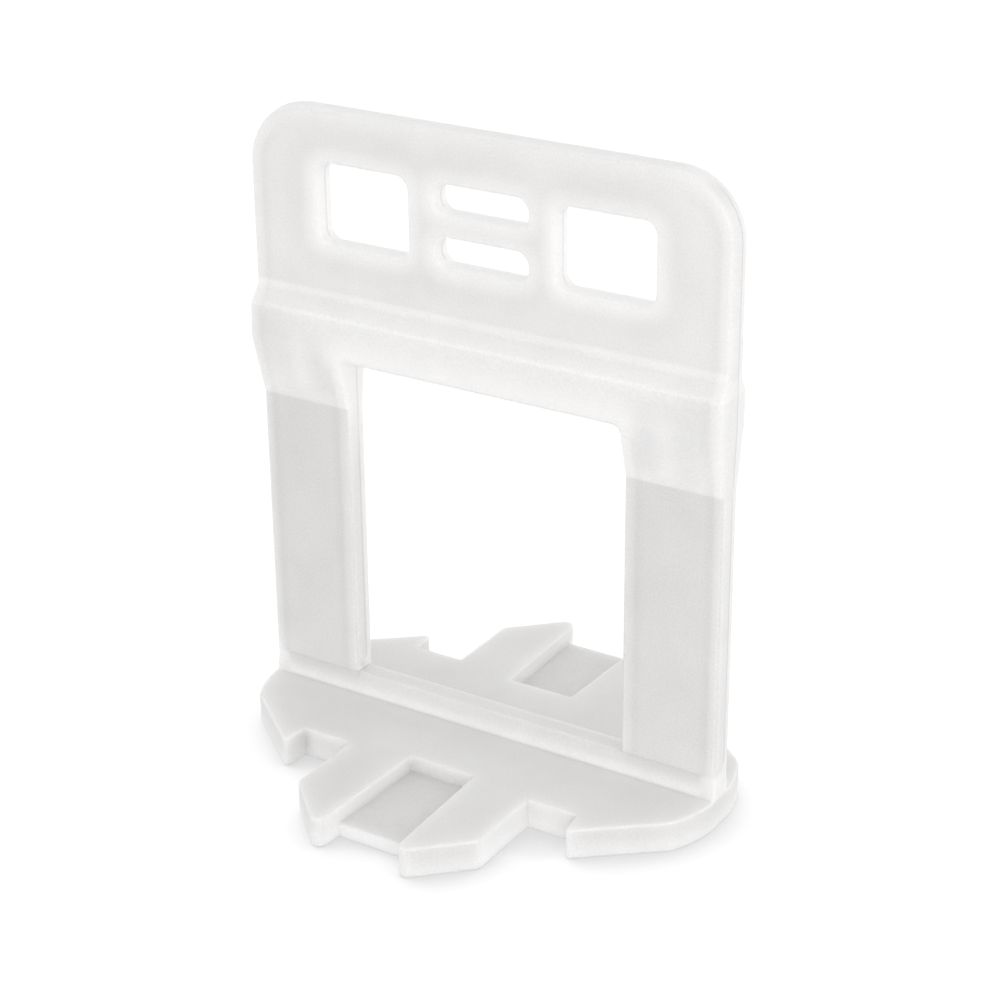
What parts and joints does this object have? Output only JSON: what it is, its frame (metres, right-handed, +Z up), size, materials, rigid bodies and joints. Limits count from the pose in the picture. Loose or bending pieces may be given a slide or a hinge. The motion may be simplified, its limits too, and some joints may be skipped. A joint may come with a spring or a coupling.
{
  "type": "tile levelling clip",
  "caption": "One-piece plastic clip with a notched base, thin legs around a wedge window, a thick crossbar and a pierced head.",
  "frame": {"origin": "middle of the flat underside of the base, at the bottom of the part", "axes": "+Z up the legs to the head, +X along the tile joint and the width of the upright, +Y across the joint"},
  "size_m": [0.041, 0.037, 0.0506],
  "materials": {
    "natural_polypropylene": "natural milky white, slightly waxy"
  },
  "bodies": {
    "root": {"levelling_clip": "natural_polypropylene"}
  },
  "joints": []
}
